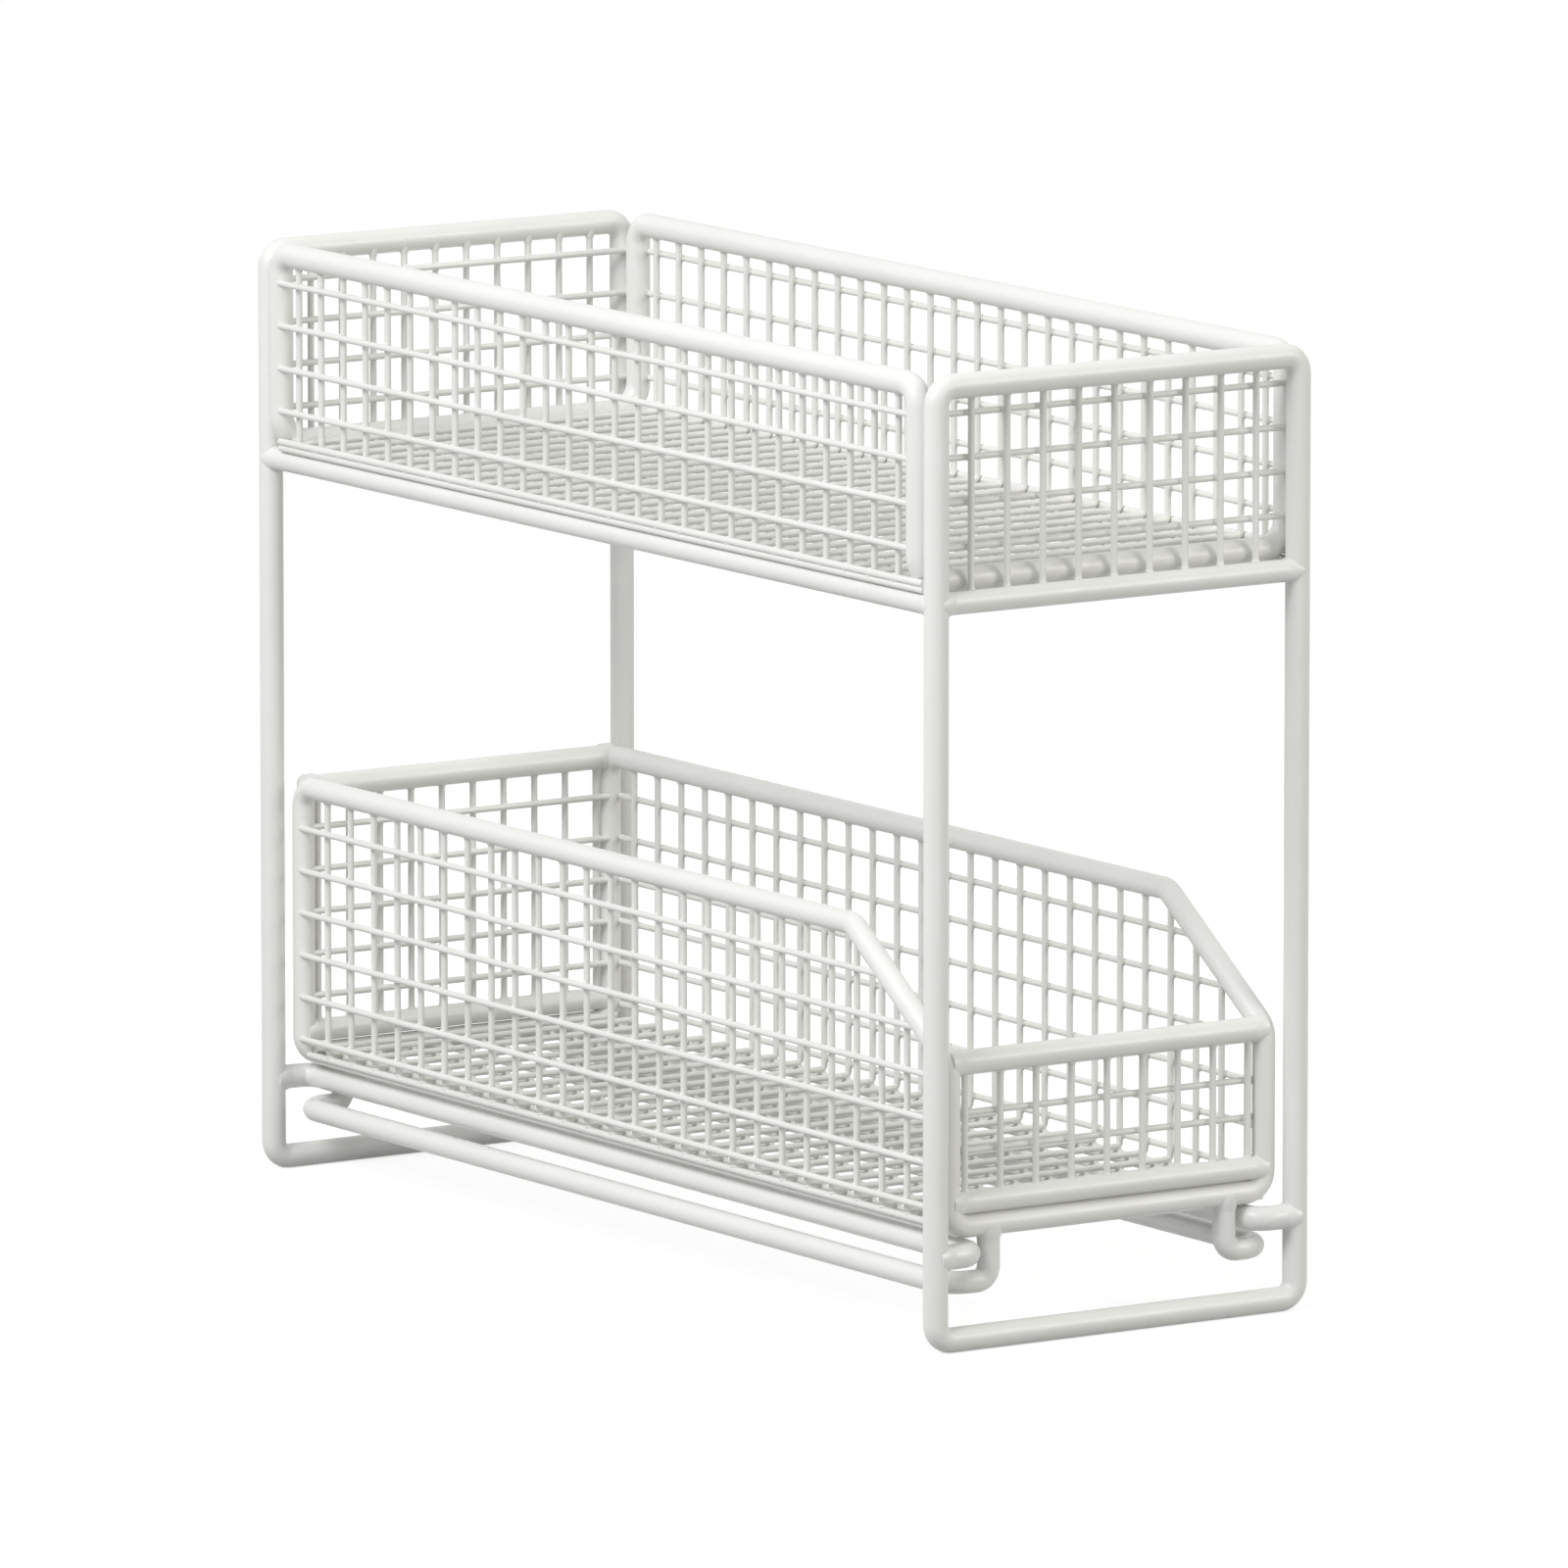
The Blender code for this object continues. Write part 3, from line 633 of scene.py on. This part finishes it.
def rim_height(y):
    """Height of the drawer rim's centre line above a place along it."""
    return min(DRAWER_TOP_Z, SLOPE_FOOT_Z + (y - DRAWER_LOW.y) * SLOPE)


def drawer_row_front(z):
    """Where a row on the drawer's wall meets the rim at its front end."""
    return max(DRAWER_LOW.y, DRAWER_LOW.y + (z - SLOPE_FOOT_Z) / SLOPE)


def add_drawer_rim(coat):
    """The drawer's rim: along the walls, down a slope to the low front, and across under both ends."""
    slope = [(DRAWER_LOW.y + SLOPE_LENGTH, DRAWER_TOP_Z), (DRAWER_LOW.y, SLOPE_FOOT_Z)]
    profile = [(DRAWER_HIGH.y, ROD_Z), (DRAWER_HIGH.y, DRAWER_TOP_Z), *slope, (DRAWER_LOW.y, ROD_Z)]
    wire = even(bent(both_sides(profile, DRAWER_HIGH.x, DRAWER_LOW.x), RIM_BEND, True))
    add_wire("drawer_rim", "drawer", wire, DRAWER_RIM_RADIUS, coat, True)


def add_drawer_rails(coat):
    """The straight rails across the drawer's ends."""
    for rail in ("front_top", "front_bottom", "rear_top", "rear_bottom"):
        node = "drawer_" + rail + "_rail"
        place = middle(node)
        path = [(x, place.y, place.z) for x in (DRAWER_LOW.x, DRAWER_HIGH.x)]
        wire = flared(path, (DRAWER_RIM_RADIUS, DRAWER_RIM_RADIUS))
        add_wire(node, "drawer", wire, radius_of(node, 2), coat)


def drawer_columns():
    """The uprights of the drawer's long walls, from the rear end forward and down the slope."""
    last = DRAWER_HIGH.y - DRAWER_FIRST_UPRIGHT
    count = int((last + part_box("drawer_mesh_right")[1].y) / DRAWER_PITCH) + 1
    steep = DRAWER_RIM_RADIUS * math.hypot(1, SLOPE)
    columns = []
    for index in range(count):
        y = last - index * DRAWER_PITCH
        sink = DRAWER_RIM_RADIUS if rim_height(y) == DRAWER_TOP_Z else steep
        columns.append((y, rim_height(y), sink))
    return columns


def add_drawer_mesh(coat):
    heights = rows_down(DRAWER_TOP_Z - DRAWER_FIRST_ROW, ROD_Z)
    rows = [(z, drawer_row_front(z), DRAWER_HIGH.y) for z in heights]
    add_trough("drawer", "drawer", drawer_columns(), rows, DRAWER_HIGH.y, coat)

    front_low, front_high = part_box("drawer_mesh_front")
    gaps = math.ceil((front_high.z - front_low.z) / ROW_PITCH)
    row_heights = {
        "front": [front_low.z + (front_high.z - front_low.z) * row / gaps for row in range(1, gaps)],
        "rear": [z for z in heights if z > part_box("drawer_mesh_rear")[0].z + MESH_WIRE],
    }
    for end, places in end_uprights("drawer").items():
        rails = ["drawer_" + end + part for part in ("_bottom_rail", "_top_rail")]
        span = [middle(rail).z for rail in rails]
        sinks = [radius_of(rail, 2) for rail in rails]
        add_end_mesh("drawer", end, "drawer", places, row_heights[end], span, DRAWER_HIGH.x, sinks, coat)


def seen_by_camera(tree, strength):
    """The strength on rays from the camera and on reflected or transmitted rays, else 0."""
    rays = tree.nodes.new("ShaderNodeLightPath").outputs
    direct = combine(tree, "ADD", rays["Is Camera Ray"], rays["Is Glossy Ray"])
    seen = combine(tree, "ADD", direct, rays["Is Transmission Ray"], clamp=True)
    return combine(tree, "MULTIPLY", seen, strength)


def add_floor():
    """A pale floor, which looks white to the camera and keeps the rack's shadow."""
    shape = bmesh.new()
    bmesh.ops.create_grid(shape, x_segments=FLOOR_CELLS, y_segments=FLOOR_CELLS, size=FLOOR_HALF)
    mesh = bpy.data.meshes.new("floor")
    shape.to_mesh(mesh)
    shape.free()
    material = bpy.data.materials.new("pale_floor")
    material.use_nodes = True
    tree = material.node_tree
    shader = tree.nodes["Principled BSDF"]
    shader.inputs["Base Color"].default_value = (FLOOR_SHADE, FLOOR_SHADE, FLOOR_SHADE, 1)
    shader.inputs["Roughness"].default_value = FLOOR_ROUGHNESS
    shader.inputs["Specular IOR Level"].default_value = FLOOR_SPECULAR
    shader.inputs["Emission Color"].default_value = WHITE
    tree.links.new(seen_by_camera(tree, FLOOR_GLOW), shader.inputs["Emission Strength"])
    mesh.materials.append(material)
    link_object("floor", mesh)


def add_world():
    """A sky that lights the rack softly and looks white to the camera."""
    world = bpy.data.worlds.new("studio")
    world.use_nodes = True
    bpy.context.scene.world = world
    tree = world.node_tree
    background = tree.nodes["Background"]
    background.inputs["Color"].default_value = WHITE
    strength = combine(tree, "ADD", seen_by_camera(tree, 1 - SKY_LIGHT), SKY_LIGHT)
    tree.links.new(strength, background.inputs["Strength"])


def add_lamp(name, place, watts, colour):
    """A square soft box that faces the rack."""
    light = bpy.data.lights.new(name, "AREA")
    light.shape = "SQUARE"
    light.size = LAMP_SIZE
    light.energy = watts
    light.color = colour
    lamp = link_object(name, light)
    lamp.location = place
    aim = Vector((0, 0, TOP_Z / 2)) - Vector(place)
    lamp.rotation_euler = aim.to_track_quat("-Z", "Y").to_euler()


def add_camera():
    """A camera far back along the photograph's line of sight, with a long lens."""
    back = Vector((
        math.sin(AZIMUTH) * math.cos(ELEVATION),
        -math.cos(AZIMUTH) * math.cos(ELEVATION),
        math.sin(ELEVATION),
    ))
    right = Vector((math.cos(AZIMUTH), math.sin(AZIMUTH), 0))
    up = back.cross(right)
    target = Vector((0, 0, AIM_HEIGHT)) + right * AIM_RIGHT - up * AIM_DOWN
    data = bpy.data.cameras.new("camera")
    data.lens = FOCAL_LENGTH
    data.sensor_width = SENSOR_WIDTH
    data.clip_end = VIEW_END
    camera = link_object("camera", data)
    camera.location = target + back * DISTANCE
    camera.rotation_euler = (-back).to_track_quat("-Z", "Y").to_euler()
    bpy.context.scene.camera = camera


frame_coat = powder_coat("frame_powder_coat", *FRAME_COAT)
rim_coat = powder_coat("rim_powder_coat", *RIM_COAT)
mesh_coat = powder_coat("mesh_powder_coat", *MESH_COAT)
runner_coat = powder_coat("runner_powder_coat", *RUNNER_COAT, scuffed=True)

add_loops(frame_coat)
add_seams(frame_coat)
add_rails(frame_coat)
add_runners(runner_coat)
add_guides(runner_coat)
add_upper_rim(rim_coat)
add_upper_mesh(mesh_coat)
add_drawer_rim(rim_coat)
add_drawer_rails(frame_coat)
add_drawer_mesh(mesh_coat)

add_floor()
add_world()
add_lamp("key", KEY_PLACE, KEY_WATTS, KEY_COLOUR)
add_lamp("fill", FILL_PLACE, FILL_WATTS, FILL_COLOUR)
add_camera()
bpy.context.scene.view_settings.view_transform = "Standard"
